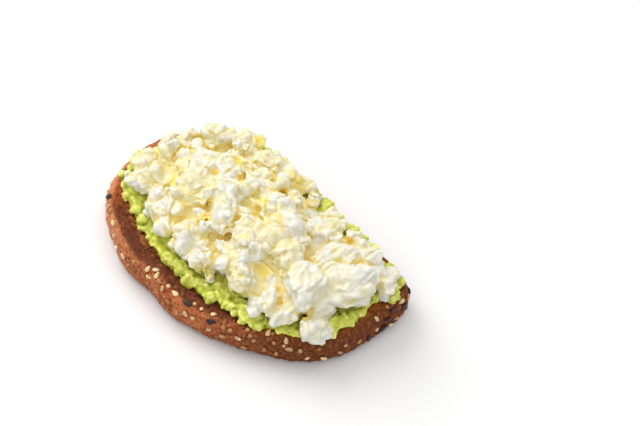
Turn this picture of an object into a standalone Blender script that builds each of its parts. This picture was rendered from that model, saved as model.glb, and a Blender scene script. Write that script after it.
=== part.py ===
"""Avocado toast: a slice of seeded bread, a spread of mashed avocado and a heap of scrambled egg.

Metres, +Z up. The slice lies flat on Z = 0, and the middle of the toast is over the origin. +X runs
along the slice. +Y points to the flat base of the loaf, -Y to its domed and seeded top crust.
"""

import math
import random

import bmesh
import bpy
from mathutils import Matrix, Vector, noise

MM = 0.001
GAP = 0.36 * MM

# From the middle of the slice's loaf shape to the middle of the toast's box.
CENTRING = Matrix.Translation((1.3 * MM, 1.9 * MM, 0.0))

# Radii of the outlines as seen from above, in mm, at even angles that start at +X and turn towards +Y.
SLICE_RADII = (
    67.9, 71.3, 77.5, 59.9, 49.1, 45.0, 44.2, 45.2, 50.4, 58.4, 65.9, 70.1,
    73.0, 72.2, 69.5, 61.1, 55.0, 47.8, 47.5, 46.4, 47.2, 49.3, 54.4, 62.1,
)
AVOCADO_RADII = (
    64.0, 64.0, 69.5, 56.0, 45.0, 41.2, 40.4, 41.2, 45.6, 53.4, 60.8, 64.5,
    65.5, 67.0, 57.5, 46.5, 41.4, 38.1, 36.5, 36.5, 36.6, 42.8, 48.6, 58.0,
)
EGG_RADII = (
    55.5, 62.5, 65.0, 50.5, 40.0, 36.0, 36.0, 38.5, 43.0, 49.0, 55.5, 58.5,
    60.0, 59.5, 49.0, 40.5, 34.0, 33.0, 30.5, 30.0, 28.5, 33.0, 43.5, 56.0,
)

# The slice: height of its cut face, and of the crust's rim that the dried crumb has shrunk away from.
CRUMB_HEIGHT = 15.0 * MM
RIM_HEIGHT = 16.4 * MM
# The crust's section, as (inset from the outline, height) in mm, from the underside to the crumb.
CRUST_SECTION = (
    (9.0, 0.0), (3.2, 0.0), (1.2, 0.8), (0.2, 3.2), (0.0, 7.0), (0.3, 11.0),
    (0.9, 14.2), (2.4, 16.0), (4.2, 16.4), (7.0, 15.8), (11.0, 15.0),
)
SLICE_SIDES = 64
CRUST_SWELL = 0.9 * MM
CRUST_BLISTER = 0.35 * MM

# Seeds baked into the crust: length, width and thickness in mm, and where they lie, as degrees round the
# slice and mm from the underside's edge, up the side and over the rim. A few more lie round both ends.
SEED_SIZES = {"sesame": (3.2, 2.2, 1.3), "flax": (4.7, 3.0, 1.5), "millet": (2.1, 1.9, 1.5)}
SEED_SPOTS = {
    "sesame": (
        (227, 12.5), (238, 12.2), (251, 15.9), (253.6, 17.6), (257, 16.2), (254, 13.0), (261, 15.5),
        (265, 14.5), (273, 17.6), (284, 11.2), (300, 17.6), (307, 14.0), (299, 8.4), (307, 8.2),
        (330, 17.4), (337, 15.3), (328, 7.2), (333, 6.2), (338, 11.4), (351, 4.4), (345, 5.6), (5, 7.6),
        (19.5, 3.8), (21.5, 6.6), (24.5, 14.7), (28, 12.8), (272, 12.0), (315, 10.2), (318, 5.3), (357, 5.8),
        (232, 10.4),
    ),
    "flax": ((283, 16.6), (300, 14.0), (21, 13.2), (18, 9.6), (10, 4.2), (16, 5.2)),
    "millet": (
        (267, 17.6), (287, 17.8), (292, 17.4), (289, 10.9), (311, 13.5), (320, 16.2), (321.5, 14.0),
        (323, 11.9), (332, 17.3), (332, 13.3), (336, 13.0), (349, 12.4), (13, 7.8), (244, 14.7),
        (279, 9.2), (342, 11.1), (359, 10.0),
    ),
}
SCATTERED_SEEDS = {"sesame": 14, "flax": 5, "millet": 7}
SEED_SPACING = 3.4 * MM

# The avocado: height of the spread above the crumb, and the lumps that the fork left along its edge.
SPREAD_THICKNESS = 3.8 * MM
SPREAD_SIDES = 72
EDGE_LUMPS = 62
LUMP_SIZE = (2.2 * MM, 4.4 * MM)
LUMP_FOLDS = 0.3
SPREAD_GRAIN = 0.7 * MM
SPREAD_TRIANGLES = 2500
# Larger lumps that lie bare of egg, as (x, y, z, radius) in mm.
BARE_LUMPS = (
    (58.5, -2.5, 19.6, 4.6), (61, 4.5, 19.4, 4.3), (61.5, 12, 18.4, 2.8), (64, 29, 19.5, 4.2),
    (60.5, 35, 19, 3.6), (-62, -20, 17.6, 3.8), (-58, -24, 17.6, 3.2), (-46, -26, 18.6, 4.0),
    (29, -26, 18.6, 4.2),
)

# The egg: a low core under the curds, and the curds as (x, y, z, across, along, up) in mm. Across and
# along are half lengths, turned with the heap, and up is half the curd's height.
CORE_HEIGHT = 10.0 * MM
CORE_SHARES = (0.86, 0.88, 0.78, 0.62, 0.4, 0.2)
CORE_SIDES = 36
HEAP_TURN = math.radians(43)
CURDS = (
    (53.5, 12, 28, 11.5, 10.5, 8.0), (40, -2, 29, 9.5, 12.0, 8.5), (36, -18, 24, 4.2, 8.5, 6.0),
    (44.5, -14.5, 23.5, 5.0, 6.5, 5.0), (51, -2, 24, 7.0, 6.0, 4.5), (58, -11.5, 21.5, 7.0, 6.2, 5.6),
    (61.5, 26.5, 22.5, 4.8, 5.6, 4.5), (57, 31, 22.5, 6.0, 5.0, 4.0), (46, 28.5, 25, 8.0, 7.0, 5.0),
    (39, 21, 27, 8.0, 6.0, 5.5), (23, 22.5, 26.5, 10.0, 7.0, 5.5), (-8, 31, 25.5, 5.0, 8.0, 5.5),
    (-9, 13, 30, 9.0, 8.0, 6.0), (-9, -7, 31, 7.0, 11.0, 7.0), (-11, -25, 26, 8.0, 8.5, 6.5),
    (0, -26, 24, 5.5, 7.5, 6.0), (20, -20, 25, 6.5, 8.5, 6.5), (11, -6, 31, 10.0, 10.0, 7.0),
    (15, 8, 31.5, 9.0, 9.0, 6.5), (3, 13, 31, 9.0, 7.0, 6.0), (-51, -19, 23.5, 8.0, 7.0, 5.5),
    (-56, -11, 24, 8.0, 8.5, 5.8), (-58, 2, 25.5, 4.5, 6.5, 7.0), (-47, 21, 26.5, 8.0, 7.5, 7.0),
    (-28, -5, 30, 9.0, 8.0, 6.0), (-31, -23, 24.5, 7.0, 7.0, 5.5), (-41, 0, 28, 7.0, 6.0, 5.0),
    (-36, 30, 26, 8.0, 6.5, 6.0), (-21, 31, 26, 8.0, 6.5, 5.5), (-27, 13, 29, 8.0, 7.0, 6.0),
    (12, -15, 28, 8.0, 8.0, 6.0), (-28, -16, 28, 7.0, 8.0, 6.0), (-36, 8, 29, 7.0, 6.0, 5.0),
    (37, 12, 28, 6.0, 6.0, 5.0), (-18, 2, 31, 8.0, 8.0, 6.0), (27, 0, 31, 7.0, 7.0, 6.0),
    (-25, -25, 23.5, 6.0, 6.0, 4.8), (-38, -22, 23, 5.0, 5.5, 4.5), (5.5, 36, 21, 3.8, 3.6, 2.8),
    (-58, 12.5, 21.5, 5.0, 6.0, 4.8),
)
SMALL_CURDS = 84
SMALL_CURD_SIZE = (2.6 * MM, 5.2 * MM)
SMALL_CURD_SPACING = 5.6 * MM
CURD_FOLDS = 0.34
HEAP_GRAIN = 0.8 * MM
HEAP_TRIANGLES = 4400


def clear_scene():
    for thing in list(bpy.data.objects):
        bpy.data.objects.remove(thing, do_unlink=True)


def make_collection(name):
    collection = bpy.data.collections.new(name)
    bpy.context.scene.collection.children.link(collection)
    return collection


def make_material(name, colour, roughness):
    material = bpy.data.materials.new(name)
    material.use_nodes = True
    shader = material.node_tree.nodes["Principled BSDF"]
    shader.inputs["Base Color"].default_value = (*colour, 1.0)
    shader.inputs["Roughness"].default_value = roughness
    shader.inputs["Metallic"].default_value = 0.0
    material.diffuse_color = (*colour, 1.0)
    return material


def add_object(name, mesh, collection):
    thing = bpy.data.objects.new(name, mesh)
    collection.objects.link(thing)
    return thing


def outline_radius(radii, angle):
    """Radius of an outline at an angle, on a smooth closed curve through its radii."""
    place = (angle / math.tau * len(radii)) % len(radii)
    first = int(place)
    share = place - first
    before, start, end, after = (radii[(first + step) % len(radii)] for step in (-1, 0, 1, 2))
    slope_in = (end - before) / 2
    slope_out = (after - start) / 2
    square = share * share
    cube = square * share
    value = (
        (2 * cube - 3 * square + 1) * start
        + (cube - 2 * square + share) * slope_in
        + (3 * square - 2 * cube) * end
        + (cube - square) * slope_out
    )
    return value * MM


def direction(angle):
    return Vector((math.cos(angle), math.sin(angle), 0.0))


def ripple(point, wavelength, seed=0.0):
    """Smooth noise from about -1 to 1."""
    return noise.noise(point / wavelength + Vector((seed, 1.7 * seed, 0.6 * seed)))


def ring_solid(rings):
    """A closed mesh from stacked rings of points, with its first ring as the lower end."""
    shell = bmesh.new()
    loops = [[shell.verts.new(point) for point in ring] for ring in rings]
    sides = len(loops[0])
    for lower, upper in zip(loops, loops[1:]):
        for side in range(sides):
            after = (side + 1) % sides
            shell.faces.new((lower[side], lower[after], upper[after], upper[side]))
    shell.faces.new(list(reversed(loops[0])))
    shell.faces.new(loops[-1])
    bmesh.ops.triangulate(shell, faces=[face for face in shell.faces if len(face.verts) > 4])
    bmesh.ops.recalc_face_normals(shell, faces=shell.faces)
    mesh = bpy.data.meshes.new("ring_solid")
    shell.to_mesh(mesh)
    shell.free()
    return mesh


def blob(centre, half_lengths, turn, tilt, folds, seed, detail=2):
    """A lumpy closed mesh: a sphere of triangles that noise pushes in and out, then stretched."""
    lump = bmesh.new()
    bmesh.ops.create_icosphere(lump, subdivisions=detail, radius=1.0)
    place = (
        Matrix.Translation(centre)
        @ Matrix.Rotation(turn, 4, "Z")
        @ Matrix.Rotation(tilt, 4, "X")
    )
    for vertex in lump.verts:
        ray = vertex.co.normalized()
        swell = 1.0 + folds * (ripple(ray, 0.85, seed) + 0.6 * ripple(ray, 0.38, seed + 9.0))
        vertex.co = Vector(ray[axis] * half_lengths[axis] * swell for axis in range(3))
    lump.transform(place)
    mesh = bpy.data.meshes.new("blob")
    lump.to_mesh(mesh)
    lump.free()
    return mesh


def apply_boolean(thing, operation, collection, solver="MANIFOLD"):
    """Joins everything in the collection to a solid, or cuts it away, and keeps the result."""
    modifier = thing.modifiers.new(operation, "BOOLEAN")
    modifier.operation = operation
    modifier.operand_type = "COLLECTION"
    modifier.collection = collection
    modifier.solver = solver
    apply_modifier(thing, modifier)


def apply_modifier(thing, modifier):
    graph = bpy.context.evaluated_depsgraph_get()
    result = bpy.data.meshes.new_from_object(thing.evaluated_get(graph))
    thing.modifiers.remove(modifier)
    thing.data = result


def add_cutter(name, mesh, cutters):
    """A piece grown by the gap, which cuts what rests on it."""
    cutter = add_object(name, mesh, cutters)
    cutter.hide_render = True
    cutter.display_type = "WIRE"
    modifier = cutter.modifiers.new("grow", "DISPLACE")
    modifier.strength = GAP
    modifier.mid_level = 0.0
    apply_modifier(cutter, modifier)


def blend(thing, grain, triangles):
    """Runs the joined lumps into one another, and evens the surface to a number of triangles."""
    modifier = thing.modifiers.new("blend", "REMESH")
    modifier.mode = "VOXEL"
    modifier.voxel_size = grain
    apply_modifier(thing, modifier)
    thing.data.calc_loop_triangles()
    modifier = thing.modifiers.new("thin_out", "DECIMATE")
    modifier.ratio = min(1.0, triangles / len(thing.data.loop_triangles))
    modifier.use_collapse_triangulate = True
    apply_modifier(thing, modifier)


def empty_collection(collection):
    for thing in list(collection.objects):
        bpy.data.objects.remove(thing, do_unlink=True)
    bpy.data.collections.remove(collection)


def keep_largest_shell(thing):
    """Drops scraps that a cut left loose, and hollows that joining sealed."""
    shell = bmesh.new()
    shell.from_mesh(thing.data)
    bmesh.ops.triangulate(shell, faces=shell.faces)
    unseen = set(shell.verts)
    islands = []
    while unseen:
        found = set()
        queue = [unseen.pop()]
        while queue:
            vertex = queue.pop()
            found.add(vertex)
            for edge in vertex.link_edges:
                other = edge.other_vert(vertex)
                if other in unseen:
                    unseen.discard(other)
                    queue.append(other)
        islands.append(found)
    largest = max(islands, key=len)
    loose = [vertex for island in islands if island is not largest for vertex in island]
    bmesh.ops.delete(shell, geom=loose, context="VERTS")
    bmesh.ops.recalc_face_normals(shell, faces=shell.faces)
    shell.to_mesh(thing.data)
    shell.free()


def crust_point(angle, inset, height):
    """A point of the slice's skin. The side swells and blisters, and the flat underside stays flat."""
    flat = direction(angle) * outline_radius(SLICE_RADII, angle)
    here = flat + Vector((0.0, 0.0, height))
    on_side = max(0.0, 1.0 - inset / (4.0 * MM)) * min(1.0, height / (2.0 * MM))
    swell = CRUST_SWELL * ripple(here, 16 * MM, 3.0) + CRUST_BLISTER * ripple(here, 5 * MM, 7.0)
    rim = rim_lift(angle) * rim_share(height)
    radius = flat.length - inset + swell * on_side
    return direction(angle) * radius + Vector((0.0, 0.0, height + rim))


def rim_lift(angle):
    """How much higher or lower the rim stands round the slice."""
    return 0.55 * MM * ripple(direction(angle) * 60 * MM, 17 * MM, 5.0)


def rim_share(height):
    """How much of the rim's own rise and fall a height takes: none at the crumb or the underside."""
    return max(0.0, min(1.0, (height - CRUMB_HEIGHT) / (RIM_HEIGHT - CRUMB_HEIGHT)))


def slice_top(x, y):
    """Height of the slice's upper face under a point."""
    angle = math.atan2(y, x)
    inset = (outline_radius(SLICE_RADII, angle) - math.hypot(x, y)) / MM
    section = CRUST_SECTION[7:]
    if inset >= section[-1][0]:
        return CRUMB_HEIGHT
    height = section[0][1]
    for (near, low), (far, high) in zip(section, section[1:]):
        if near <= inset <= far:
            height = low + (high - low) * (inset - near) / (far - near)
    return height * MM + rim_lift(angle) * rim_share(height * MM)


def slice_mesh():
    """The bare slice: its crust's section carried round the outline."""
    rings = []
    for inset, height in CRUST_SECTION:
        angles = [math.tau * side / SLICE_SIDES for side in range(SLICE_SIDES)]
        rings.append([crust_point(angle, inset * MM, height * MM) for angle in angles])
    return ring_solid(rings)


def section_at(run):
    """Inset and height on the crust's section, at a distance in mm up from the underside's edge."""
    for (near, low), (far, high) in zip(CRUST_SECTION[2:], CRUST_SECTION[3:10]):
        length = math.hypot(far - near, high - low)
        if run <= length:
            share = run / length
            return (near + (far - near) * share) * MM, (low + (high - low) * share) * MM
        run -= length
    return CRUST_SECTION[9][0] * MM, CRUST_SECTION[9][1] * MM


def crust_seeds():
    """Every seed as (kind, angle, run, spin, scale): those with a place of their own, then the rest."""
    draw = random.Random(11)
    placed = []
    seeds = []

    def add(kind, angle, run):
        placed.append(crust_point(angle, *section_at(run)))
        seeds.append((kind, angle, run, draw.uniform(0, math.pi), draw.uniform(0.85, 1.15)))

    for kind, spots in SEED_SPOTS.items():
        for degrees, run in spots:
            add(kind, math.radians(degrees), run)
    for kind, count in SCATTERED_SEEDS.items():
        while count:
            angle = math.radians(draw.choice((draw.uniform(150, 224), draw.uniform(-2, 38))))
            run = draw.uniform(2.0, 17.0)
            spot = crust_point(angle, *section_at(run))
            if all((spot - other).length > SEED_SPACING for other in placed):
                add(kind, angle, run)
                count -= 1
    return seeds


def seed_frame(angle, run):
    """Where a seed sits on the crust's side, with the seed's own Z pointing out of the crust."""
    step = 0.01
    here = crust_point(angle, *section_at(run))
    beside = crust_point(angle + step, *section_at(run))
    above = crust_point(angle, *section_at(run + 0.4))
    along = (beside - here).normalized()
    out = along.cross(above - here).normalized()
    up = out.cross(along)
    return Matrix.Translation(here) @ Matrix((along, up, out)).transposed().to_4x4()


def seed_mesh(kind, angle, run, spin, scale):
    """One seed: a drop with one pointed end, half sunk in the crust."""
    size = SEED_SIZES[kind]
    grain = bmesh.new()
    bmesh.ops.create_uvsphere(grain, u_segments=6, v_segments=3, radius=0.5)
    place = seed_frame(angle, run) @ Matrix.Rotation(spin, 4, "Z")
    for vertex in grain.verts:
        point = vertex.co
        taper = 1.0 if kind == "millet" else 1.0 - 0.55 * point.z
        vertex.co = Vector((point.z * size[0], point.x * size[1] * taper, point.y * size[2]))
        vertex.co *= scale * MM
    grain.transform(place)
    bmesh.ops.recalc_face_normals(grain, faces=grain.faces)
    mesh = bpy.data.meshes.new(kind)
    grain.to_mesh(mesh)
    grain.free()
    return mesh


def make_bread(parts):
    """The slice with its seeds fused on."""
    bread = add_object("bread_slice", slice_mesh(), parts)
    seeds = make_collection("seeds")
    for number, seed in enumerate(crust_seeds()):
        add_object(f"seed_{number}", seed_mesh(*seed), seeds)
    apply_boolean(bread, "UNION", seeds, "EXACT")
    empty_collection(seeds)
    keep_largest_shell(bread)
    return bread


def spread_mesh():
    """The avocado's even body, sunk a little into the slice so that the cutter gives it its underside."""
    rings = []
    sink = 0.8 * MM
    edge_lift = SPREAD_THICKNESS * 0.55
    for share, rise in ((0.6, -sink), (0.98, -sink), (1.0, edge_lift), (0.965, 0.92 * SPREAD_THICKNESS)):
        rings.append([spread_point(side, share, rise) for side in range(SPREAD_SIDES)])
    crown = CRUMB_HEIGHT + SPREAD_THICKNESS
    rings.append([Vector((*spread_point(side, 0.8, 0.0).xy, crown)) for side in range(SPREAD_SIDES)])
    return ring_solid(rings)


def spread_point(side, share, rise):
    angle = math.tau * side / SPREAD_SIDES
    ragged = 1.1 * MM * ripple(direction(angle) * 55 * MM, 6 * MM, 2.0)
    radius = (outline_radius(AVOCADO_RADII, angle) + ragged) * share
    spot = direction(angle) * radius
    wave = 0.5 * MM * ripple(spot, 7 * MM, 4.0) if rise > 0 else 0.0
    return Vector((spot.x, spot.y, slice_top(spot.x, spot.y) + rise + wave))


def avocado_lumps():
    """Every lump as (centre, half lengths, turn, seed)."""
    draw = random.Random(23)
    lumps = []
    for number in range(EDGE_LUMPS):
        angle = math.tau * (number + draw.uniform(0.1, 0.9)) / EDGE_LUMPS
        size = draw.uniform(*LUMP_SIZE)
        radius = outline_radius(AVOCADO_RADII, angle) - draw.uniform(0.2, 1.0) * size
        spot = direction(angle) * radius
        height = slice_top(spot.x, spot.y) + draw.uniform(0.35, 0.75) * SPREAD_THICKNESS
        half_lengths = (size, size * draw.uniform(0.7, 1.1), size * draw.uniform(0.55, 0.8))
        lumps.append((Vector((spot.x, spot.y, height)), half_lengths, draw.uniform(0, math.pi), number))
    for number, (x, y, z, radius) in enumerate(BARE_LUMPS):
        half_lengths = (radius * MM, radius * 0.8 * MM, radius * 0.7 * MM)
        centre = Vector((x, y, z - 1.0)) * MM
        lumps.append((centre, half_lengths, 0.9 * number, 200 + number))
    return lumps


def make_avocado(parts, cutters):
    """The spread with its lumps, cut to the slice under it."""
    avocado = add_object("mashed_avocado", spread_mesh(), parts)
    lumps = make_collection("lumps")
    for number, (centre, half_lengths, turn, seed) in enumerate(avocado_lumps()):
        mesh = blob(centre, half_lengths, turn, 0.0, LUMP_FOLDS, seed)
        add_object(f"lump_{number}", mesh, lumps)
    apply_boolean(avocado, "UNION", lumps)
    empty_collection(lumps)
    blend(avocado, SPREAD_GRAIN, SPREAD_TRIANGLES)
    apply_boolean(avocado, "DIFFERENCE", cutters)
    keep_largest_shell(avocado)
    return avocado


def heap_height(x, y):
    """Height of the egg's core over the avocado: a mound that falls away to the egg's outline."""
    share = math.hypot(x, y) / outline_radius(EGG_RADII, math.atan2(y, x))
    return CORE_HEIGHT * max(0.0, 1.0 - share**2.4) ** 0.55


def core_mesh():
    floor = CRUMB_HEIGHT + 0.6 * SPREAD_THICKNESS
    rings = []
    for number, share in enumerate(CORE_SHARES):
        ring = []
        for side in range(CORE_SIDES):
            angle = math.tau * side / CORE_SIDES
            spot = direction(angle) * outline_radius(EGG_RADII, angle) * share
            rise = 0.4 * SPREAD_THICKNESS + heap_height(spot.x, spot.y) if number else 0.0
            ring.append(Vector((spot.x, spot.y, floor + rise)))
        rings.append(ring)
    return ring_solid(rings)


def all_curds():
    """Every curd as (centre, half lengths, turn, tilt, seed): the large ones, then small ones between."""
    draw = random.Random(37)
    curds = []
    for number, (x, y, z, across, along, up) in enumerate(CURDS):
        half_lengths = (across * MM, along * MM, up * MM)
        tilt = draw.uniform(-0.25, 0.25)
        curds.append((Vector((x, y, z)) * MM, half_lengths, HEAP_TURN, tilt, 300 + number))
    placed = []
    while len(placed) < SMALL_CURDS:
        angle = draw.uniform(0, math.tau)
        share = math.sqrt(draw.uniform(0.0, 1.0))
        spot = direction(angle) * outline_radius(EGG_RADII, angle) * share * 1.02
        size = draw.uniform(*SMALL_CURD_SIZE)
        if any((spot - other).length < SMALL_CURD_SPACING for other in placed):
            continue
        placed.append(spot)
        surface = CRUMB_HEIGHT + SPREAD_THICKNESS + 1.2 * heap_height(spot.x, spot.y)
        centre = Vector((spot.x, spot.y, surface + draw.uniform(0.2, 0.7) * size))
        half_lengths = (size, size * draw.uniform(0.6, 1.2), size * draw.uniform(0.5, 0.85))
        turn = draw.uniform(0, math.pi)
        tilt = draw.uniform(-0.6, 0.6)
        curds.append((centre, half_lengths, turn, tilt, 500 + len(placed)))
    return curds


def make_egg(parts, cutters):
    """The heap of scrambled egg, one solid out to its uneven outline, cut to what it lies on."""
    egg = add_object("scrambled_egg", core_mesh(), parts)
    curds = make_collection("curds")
    for number, (centre, half_lengths, turn, tilt, seed) in enumerate(all_curds()):
        mesh = blob(centre, half_lengths, turn, tilt, CURD_FOLDS, seed, detail=3)
        add_object(f"curd_{number}", mesh, curds)
    apply_boolean(egg, "UNION", curds)
    empty_collection(curds)
    blend(egg, HEAP_GRAIN, HEAP_TRIANGLES)
    apply_boolean(egg, "DIFFERENCE", cutters)
    keep_largest_shell(egg)
    return egg


def finish(thing, material):
    thing.data.transform(CENTRING)
    thing.data.materials.clear()
    thing.data.materials.append(material)
    thing.data.shade_smooth()
    thing.data.set_sharp_from_angle(angle=math.radians(50))


def main():
    clear_scene()
    parts = make_collection("avocado_toast")
    cutters = make_collection("cutters")
    bread = make_bread(parts)
    add_cutter("around_slice", slice_mesh(), cutters)
    avocado = make_avocado(parts, cutters)
    add_cutter("around_avocado", avocado.data.copy(), cutters)
    egg = make_egg(parts, cutters)
    empty_collection(cutters)
    finish(bread, make_material("baked_crust", (0.28, 0.09, 0.035), 0.65))
    finish(avocado, make_material("avocado_flesh", (0.42, 0.55, 0.07), 0.4))
    finish(egg, make_material("egg_curd", (0.93, 0.89, 0.70), 0.4))


main()
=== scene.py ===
import math
import random

import bmesh
import bpy
import numpy as np
from mathutils import Matrix, Vector, noise
from mathutils.bvhtree import BVHTree


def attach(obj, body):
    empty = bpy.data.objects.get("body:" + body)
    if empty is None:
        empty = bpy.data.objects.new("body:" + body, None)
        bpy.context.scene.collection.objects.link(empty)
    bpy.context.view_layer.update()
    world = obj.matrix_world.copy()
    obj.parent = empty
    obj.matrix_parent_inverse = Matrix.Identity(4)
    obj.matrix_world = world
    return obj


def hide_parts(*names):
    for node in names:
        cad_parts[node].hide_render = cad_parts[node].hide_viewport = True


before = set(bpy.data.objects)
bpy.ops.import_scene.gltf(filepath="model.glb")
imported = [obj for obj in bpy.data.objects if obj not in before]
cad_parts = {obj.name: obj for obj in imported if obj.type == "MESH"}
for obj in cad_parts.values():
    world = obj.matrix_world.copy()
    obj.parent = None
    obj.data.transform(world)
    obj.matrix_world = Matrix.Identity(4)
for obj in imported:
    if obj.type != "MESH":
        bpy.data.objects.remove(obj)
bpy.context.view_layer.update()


# The table and the light
# A pale matt tabletop under a large soft window light from the left, with a wide light overhead and a
# pale room round it, so that shadows are short and soft.

bpy.ops.object.select_all(action="DESELECT")
bpy.ops.mesh.primitive_plane_add(size=6.0, location=(0, 0, 0))
tabletop = bpy.context.object
tabletop.name = "tabletop"
tabletop_paint = bpy.data.materials.new("tabletop_paint")
tabletop_paint.use_nodes = True
tabletop_shader = tabletop_paint.node_tree.nodes["Principled BSDF"]
tabletop_shader.inputs["Base Color"].default_value = (0.78, 0.78, 0.785, 1)
tabletop_shader.inputs["Roughness"].default_value = 0.7
tabletop.data.materials.append(tabletop_paint)


def soft_light(name, place, aim, width, watts, colour):
    bpy.ops.object.light_add(type="AREA", location=place)
    light = bpy.context.object
    light.name = name
    light.data.shape = "SQUARE"
    light.data.size = width
    light.data.energy = watts
    light.data.color = colour
    light.rotation_euler = (Vector(aim) - Vector(place)).to_track_quat("-Z", "Y").to_euler()


soft_light(
    "window", place=(-0.95, -0.05, 0.95), aim=(0, 0, 0.02), width=1.0, watts=13.0, colour=(1.0, 0.99, 0.965)
)
soft_light("ceiling", place=(0.2, 0.5, 1.9), aim=(0, 0, 0), width=1.8, watts=11.0, colour=(1.0, 0.995, 0.985))
soft_light(
    "reflector", place=(1.1, -1.5, 0.9), aim=(0, 0, 0.02), width=1.6, watts=5.0, colour=(1.0, 0.99, 0.975)
)

room = bpy.data.worlds.new("white_room")
bpy.context.scene.world = room
room.use_nodes = True
room.node_tree.nodes["Background"].inputs["Color"].default_value = (1.0, 1.0, 1.0, 1)
room.node_tree.nodes["Background"].inputs["Strength"].default_value = 0.68
bpy.context.scene.view_settings.view_transform = "Standard"


# The camera
# It looks down on the toast from the seeded side and the right, and is turned a little about its own
# axis. Its lens is long, so that the slice's two ends look nearly equally large.

MM = 0.001
view_turn = math.radians(43.4)
view_height = math.radians(53.1)
view_roll = math.radians(6.0)
view_target = Vector((2.8, 45.65, 0.0)) * MM
view_distance = 710.28 * MM
towards_camera = Vector(
    (
        math.sin(view_turn) * math.cos(view_height),
        -math.cos(view_turn) * math.cos(view_height),
        math.sin(view_height),
    )
)
level_right = Vector((math.cos(view_turn), math.sin(view_turn), 0.0))
level_up = towards_camera.cross(level_right)
camera_right = level_right * math.cos(view_roll) + level_up * math.sin(view_roll)
camera_up = level_up * math.cos(view_roll) - level_right * math.sin(view_roll)
camera_place = Matrix((camera_right, camera_up, towards_camera)).transposed().to_4x4()
camera_place.translation = view_target + towards_camera * view_distance
bpy.ops.object.camera_add()
camera = bpy.context.object
camera.name = "photo_view"
camera.matrix_world = camera_place
camera.data.lens = 85.0
camera.data.sensor_width = 36.0
camera.data.clip_start = 0.01
bpy.context.scene.camera = camera


# The slice of bread
# One toasted slice of a seeded brown loaf, flat along the base of the loaf and domed along its top.
# Its crust is thin, blistered and pitted. The cut face has dried and sunk inside the crust's rim.

SLICE_RADII = (
    67.9, 71.3, 77.5, 59.9, 49.1, 45.0, 44.2, 45.2, 50.4, 58.4, 65.9, 70.1,
    73.0, 72.2, 69.5, 61.1, 55.0, 47.8, 47.5, 46.4, 47.2, 49.3, 54.4, 62.1,
)
CRUST_SECTION = (
    (40.0, 0.0), (32.0, 0.0), (24.0, 0.0), (16.0, 0.0), (9.0, 0.0), (3.2, 0.0),
    (1.2, 0.8), (0.2, 3.2), (0.0, 7.0), (0.3, 11.0), (0.9, 14.2), (2.4, 16.0),
    (4.2, 16.4), (7.0, 15.8), (11.0, 15.0), (16.0, 15.0), (26.0, 15.0),
)
CRUMB_HEIGHT = 15.0 * MM
RIM_HEIGHT = 16.4 * MM
SLICE_COLUMNS = 88
ROUNDING_LEVELS = 3
CENTRING = Vector((1.3, 1.9, 0.0)) * MM


def outline_radius(radii, angle):
    """Radius of an outline at an angle, on a smooth closed curve through its radii in mm."""
    place = (angle / math.tau * len(radii)) % len(radii)
    first = int(place)
    share = place - first
    before, start, end, after = (radii[(first + step) % len(radii)] for step in (-1, 0, 1, 2))
    square = share * share
    cube = square * share
    value = (
        (2 * cube - 3 * square + 1) * start
        + (cube - 2 * square + share) * (end - before) / 2
        + (3 * square - 2 * cube) * end
        + (cube - square) * (after - start) / 2
    )
    return value * MM


def direction(angle):
    """The level direction at an angle from the slice's length."""
    return Vector((math.cos(angle), math.sin(angle), 0.0))


def ripple(point, wavelength, seed):
    """Smooth noise from about -1 to 1."""
    return noise.noise(point / wavelength + Vector((seed, 1.7 * seed, 0.6 * seed)))


def rim_lift(angle):
    """How far the rim waves up or down at an angle."""
    return 0.55 * MM * ripple(direction(angle) * 60 * MM, 17 * MM, 5.0)


def rim_share(height):
    """0 at the crumb's height and below, 1 at the rim's."""
    return max(0.0, min(1.0, (height - CRUMB_HEIGHT) / (RIM_HEIGHT - CRUMB_HEIGHT)))


def crust_point(angle, inset, height):
    """A point of the slice's skin, whose side swells and blisters. It lies inset from the outline."""
    flat = direction(angle) * outline_radius(SLICE_RADII, angle)
    here = flat + Vector((0.0, 0.0, height))
    on_side = max(0.0, 1.0 - inset / (4.0 * MM)) * min(1.0, height / (2.0 * MM))
    swell = 0.9 * MM * ripple(here, 16 * MM, 3.0) + 0.35 * MM * ripple(here, 5 * MM, 7.0)
    radius = flat.length - inset + swell * on_side
    return direction(angle) * radius + Vector((0.0, 0.0, height + rim_lift(angle) * rim_share(height)))


def slice_top(x, y):
    """Height of the slice's upper face under a point."""
    angle = math.atan2(y, x)
    inset = (outline_radius(SLICE_RADII, angle) - math.hypot(x, y)) / MM
    section = CRUST_SECTION[11:15]
    if inset >= section[-1][0]:
        return CRUMB_HEIGHT
    height = section[0][1]
    for (near, low), (far, high) in zip(section, section[1:]):
        if near <= inset <= far:
            height = low + (high - low) * (inset - near) / (far - near)
    return height * MM + rim_lift(angle) * rim_share(height * MM)


def apply_all(piece):
    """Applies every modifier of a piece, from the first to the last."""
    bpy.ops.object.select_all(action="DESELECT")
    piece.select_set(True)
    bpy.context.view_layer.objects.active = piece
    for modifier in list(piece.modifiers):
        bpy.ops.object.modifier_apply(modifier=modifier.name)


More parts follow.
